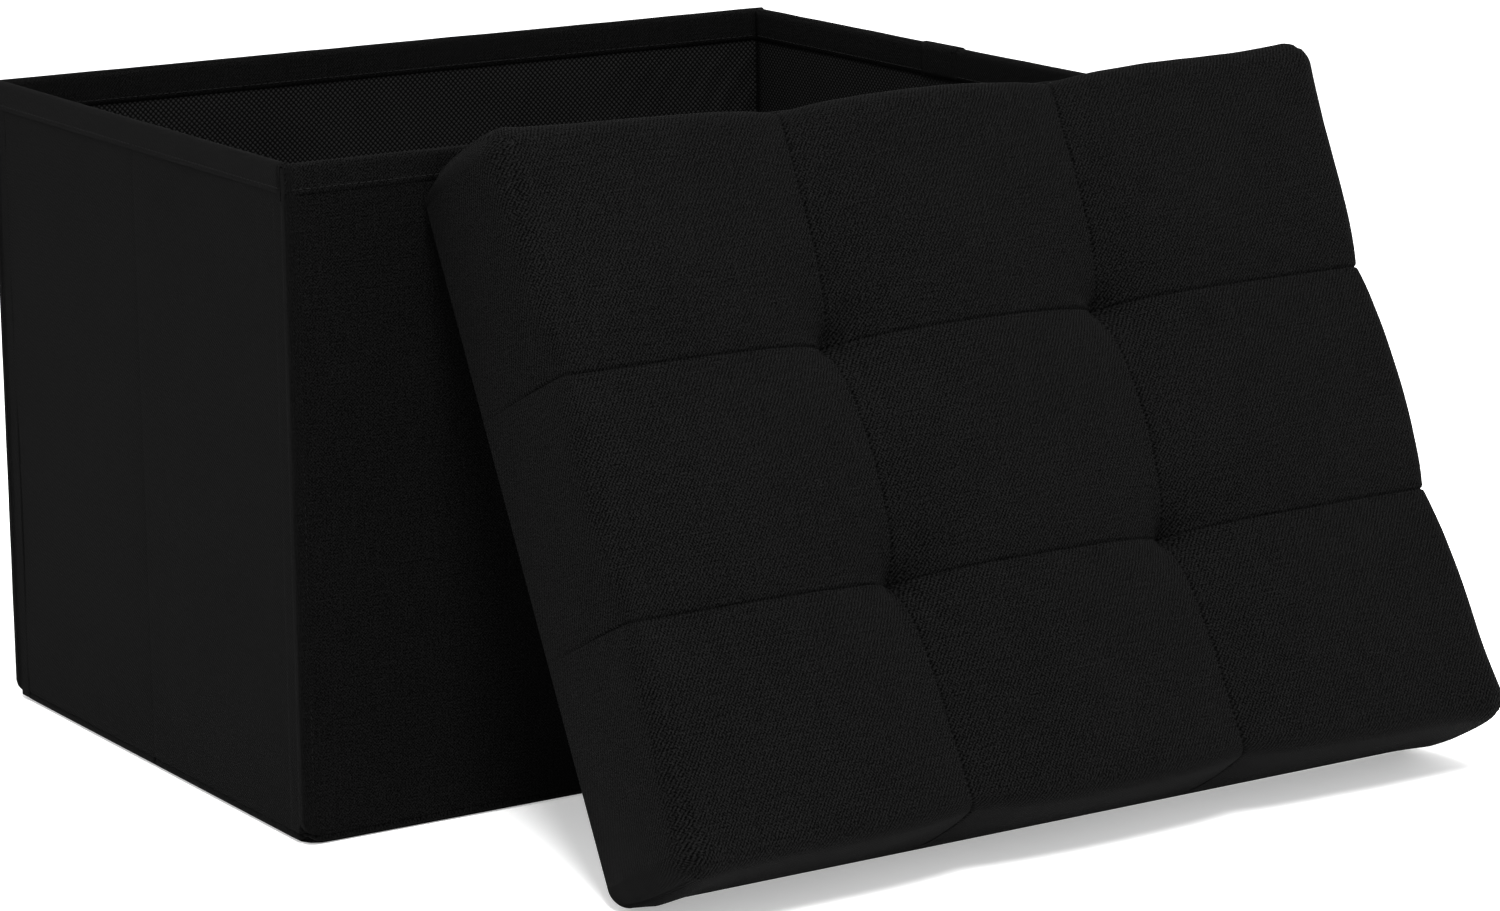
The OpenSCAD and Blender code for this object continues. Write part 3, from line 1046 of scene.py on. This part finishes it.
def sample(lines_s, lines_t, values, s, t):
    """Bilinear value of the relaxed grid at (s, t)."""
    i = min(max(int(np.searchsorted(lines_s, s) - 1), 0), len(lines_s) - 2)
    j = min(max(int(np.searchsorted(lines_t, t) - 1), 0), len(lines_t) - 2)
    f = min(max((s - lines_s[i]) / (lines_s[i + 1] - lines_s[i]), 0), 1)
    g = min(max((t - lines_t[j]) / (lines_t[j + 1] - lines_t[j]), 0), 1)
    a = values[i, j] * (1 - f) + values[i + 1, j] * f
    b = values[i, j + 1] * (1 - f) + values[i + 1, j + 1] * f
    return a * (1 - g) + b * g


def lid_cushion():
    """The lid's upholstered pad: three by three squares, tufted where their seams cross."""
    edge, corner, under, tuck = 9 * MM, 9.5 * MM, 0.9 * MM, 14 * MM
    floor = 0.5 * MM
    wrap = Wrap(LID_LENGTH, LID_DEPTH, LID_THICK + floor, edge, corner, under, tuck)
    tuft_s, tuft_t = LID_LENGTH / 6, LID_DEPTH / 6
    relaxed_s, relaxed_t, depth = relax_pad(wrap, (tuft_s, tuft_t), (30, 22))
    extra = [0.45 * MM, 0.95 * MM, 1.6 * MM]

    def lines(relaxed, seam, which):
        marks = list(relaxed) + [k * seam + sign * e for k in (-1, 1) for e in extra for sign in (-1, 1)]
        limit = wrap.half[which] + wrap.end
        turn = wrap.a4 - wrap.a3
        for sign in (-1, 1):
            marks += [sign * (wrap.half[which] + a) for a in (wrap.a3, wrap.a3 + turn / 2, wrap.a4)]
            marks.append(sign * limit)
        marks = sorted(m for m in marks if abs(m) <= limit + 1e-9)
        kept = [marks[0]]
        for m in marks[1:]:
            if m - kept[-1] > 0.3 * MM:
                kept.append(m)
        return kept

    s_lines = lines(relaxed_s, tuft_s, 0)
    t_lines = lines(relaxed_t, tuft_t, 1)
    points, uv = [], []
    for s in s_lines:
        for t in t_lines:
            p, n = wrap.at(s, t)
            a = max(abs(s) - wrap.half[0], abs(t) - wrap.half[1], 0.0)
            down = min(1, max(0, (a - wrap.a2) / (wrap.a3 - wrap.a2)))
            hold = min(1, (1 - down) * 3)
            drawn = sample(relaxed_s, relaxed_t, depth, s, t)
            # overall crown of the pad
            crown = 3 * MM * max(0, 1 - (2 * s / LID_LENGTH) ** 2) * max(0, 1 - (2 * t / LID_DEPTH) ** 2)
            # the sewn groove itself, and small folds that run out from each tuft
            gs = min(abs(s - tuft_s), abs(s + tuft_s))
            gt = min(abs(t - tuft_t), abs(t + tuft_t))
            groove = 1.2 * MM * (math.exp(-((gs / (0.6 * MM)) ** 2)) + math.exp(-((gt / (0.6 * MM)) ** 2)))
            groove *= 1 - 0.6 * down
            near = math.hypot(gs, gt)
            angle = math.atan2(gt, gs)
            fold = 0.8 * MM * math.exp(-near / (12 * MM)) * min(1, near / (4 * MM))
            fold *= math.cos(8 * angle + 3 * soft((s, t), 0.03, 2.6))
            slack = 0.5 * MM * soft((s, t), 0.045, 0.4) + 0.16 * MM * soft((s, t), 0.014, 3.3)
            # the corners of the pad are gathered into small tucks down the side
            q = (abs(s) - wrap.half[0], abs(t) - wrap.half[1])
            if min(q) > 0 and a > wrap.a1:
                turn = (q[1] - q[0]) / max(q)
                gather = min(1, (a - wrap.a1) / (20 * MM))
                slack -= 1.3 * MM * math.exp(-(((turn - 0.28) / 0.10) ** 2)) * gather
                slack += 0.5 * MM * math.exp(-(((turn - 0.05) / 0.12) ** 2)) * gather
            # and stand a little fuller than the sides, since no seam draws them in
            ends = (min(1, max(0, 1 + q[0] / (35 * MM))), min(1, max(0, 1 + q[1] / (35 * MM))))
            slack += 1.8 * MM * ends[0] ** 2 * ends[1] ** 2
            bulge = 1.6 * MM * math.sin(math.pi * down**0.8)
            offset = crown - drawn + (slack - groove + fold) * hold + bulge
            p = p + n * offset
            p.z = max(p.z + LID_THICK, -floor)
            points.append(LID @ Vector((p.x, p.y + LID_DEPTH / 2, p.z)))
            uv.append((s, t))
    faces = grid_faces(len(s_lines), len(t_lines))
    obj = mesh_object("lid_cushion", points, faces, "lid_linen", uv)
    bm = bmesh.new()
    bm.from_mesh(obj.data)
    rim = [e for e in bm.edges if e.is_boundary]
    bmesh.ops.holes_fill(bm, edges=rim, sides=0)
    bmesh.ops.triangulate(bm, faces=[f for f in bm.faces if len(f.verts) > 4])
    bmesh.ops.recalc_face_normals(bm, faces=bm.faces)
    bm.to_mesh(obj.data)
    bm.free()
    return obj


cushion = lid_cushion()
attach(cushion, "lid")
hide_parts("lid_cover", "lid_foam")


def tuft_cords():
    """Twisted cords from the washers up to the tufts, which end inside the pad."""
    points, faces, uv = [], [], []
    top = LID_THICK - 33 * MM
    ring, rows = 10, 60
    for sx in (-1, 1):
        for sy in (-1, 1):
            first = len(points)
            for i in range(rows + 1):
                z = -0.3 * MM + (top + 0.3 * MM) * i / rows
                for k in range(ring):
                    a = 2 * math.pi * k / ring
                    strand = 1 + 0.22 * math.cos(2 * (a - z * 900))
                    r = 0.75 * MM * strand
                    centre = (sx * LID_LENGTH / 6, LID_DEPTH / 2 + sy * LID_DEPTH / 6)
                    points.append(LID @ Vector((centre[0] + r * math.cos(a), centre[1] + r * math.sin(a), z)))
                    uv.append((z, k * 0.0005))
            faces += tube_faces(rows + 1, ring, first)
    obj = face_outward(mesh_object("tuft_cords", points, faces, "cord", uv))
    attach(obj, "lid")
    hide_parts("tuft_ties")


tuft_cords()


def dust_cloth():
    """The cloth stapled over the lid's underside."""
    inset = 6 * MM
    xs = spaced(-LID_LENGTH / 2 + inset, LID_LENGTH / 2 - inset, 6 * MM)
    ys = spaced(inset, LID_DEPTH - inset, 6 * MM)
    points, uv = [], []
    for x in xs:
        for y in ys:
            edge = min(x - xs[0], xs[-1] - x, y - ys[0], ys[-1] - y)
            puff = 0.18 * MM * soft((x, y), 0.03, 8.8) * min(1, edge / (12 * MM))
            pucker = 0.14 * MM * math.cos(2 * math.pi * x / (38 * MM)) * math.exp(-edge / (9 * MM))
            points.append(LID @ Vector((x, y, -0.95 * MM + puff + pucker)))
            uv.append((x, y))
    obj = mesh_object("lid_dust_cloth", points, grid_faces(len(xs), len(ys)), "nonwoven", uv)
    show_face(obj, LID.to_3x3() @ Vector((0, 0, -1)))
    thicken(obj, 0.3 * MM)
    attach(obj, "lid")
    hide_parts("lid_lining")


dust_cloth()

# ---------------------------------------------------------------- floor, light and camera


def plain_material(name, colour, rough, glow):
    """An even colour that gives off a little light of its own."""
    s = Shader(name)
    s.surface(
        Base_Color=(*colour, 1),
        Roughness=rough,
        Specular_IOR_Level=0.1,
        Emission_Color=(1, 1, 1, 1),
        Emission_Strength=glow,
    )
    return s.material


def studio():
    """A pale, faintly glowing floor, white surroundings and three soft lamps."""
    scene = bpy.context.scene
    scene.view_settings.view_transform = "Standard"
    bpy.ops.mesh.primitive_plane_add(size=30, location=(0, 0, -0.0004))
    floor = bpy.context.object
    floor.name = "studio_floor"
    floor.data.materials.append(plain_material("floor_panel", (0.93, 0.93, 0.93), 0.9, 0.35))
    world = bpy.data.worlds.new("studio_world")
    scene.world = world
    world.use_nodes = True
    world.node_tree.nodes["Background"].inputs["Color"].default_value = (1, 1, 1, 1)
    world.node_tree.nodes["Background"].inputs["Strength"].default_value = 1.0
    for name, place, size, power in (
        ("key", (-0.75, -1.8, 2.7), 1.1, 150),
        ("top", (0.2, -0.2, 3.0), 1.8, 60),
        ("front_fill", (1.6, -2.6, 1.2), 1.6, 10),
    ):
        light = bpy.data.lights.new(name, "AREA")
        light.shape = "DISK"
        light.size = size
        light.energy = power
        lamp = bpy.data.objects.new(name, light)
        lamp.location = place
        target = Vector((0.05, -0.15, 0.15))
        lamp.rotation_euler = (target - Vector(place)).to_track_quat("-Z", "Y").to_euler()
        scene.collection.objects.link(lamp)


CAMERA_PLACE = (-1.1628, -1.9929, 0.6440)
CAMERA_YAW = math.radians(32.60)
CAMERA_PITCH = math.radians(12.86)
CAMERA_ROLL = math.radians(-0.53)
CAMERA_LENS = 119.03


def camera():
    """A long lens from the front left, looking down on the rim, with no shift."""
    yaw, pitch, roll = CAMERA_YAW, CAMERA_PITCH, CAMERA_ROLL
    forward = Vector((math.sin(yaw) * math.cos(pitch), math.cos(yaw) * math.cos(pitch), -math.sin(pitch)))
    right = Vector((math.cos(yaw), -math.sin(yaw), 0))
    up = right.cross(forward)
    turned_right = right * math.cos(roll) + up * math.sin(roll)
    turned_up = up * math.cos(roll) - right * math.sin(roll)
    matrix = Matrix((turned_right, turned_up, -forward)).transposed().to_4x4()
    matrix.translation = Vector(CAMERA_PLACE)
    data = bpy.data.cameras.new("camera")
    data.sensor_width = 36
    data.lens = CAMERA_LENS
    data.clip_end = 50
    obj = bpy.data.objects.new("camera", data)
    obj.matrix_world = matrix
    bpy.context.scene.collection.objects.link(obj)
    bpy.context.scene.camera = obj


studio()
camera()
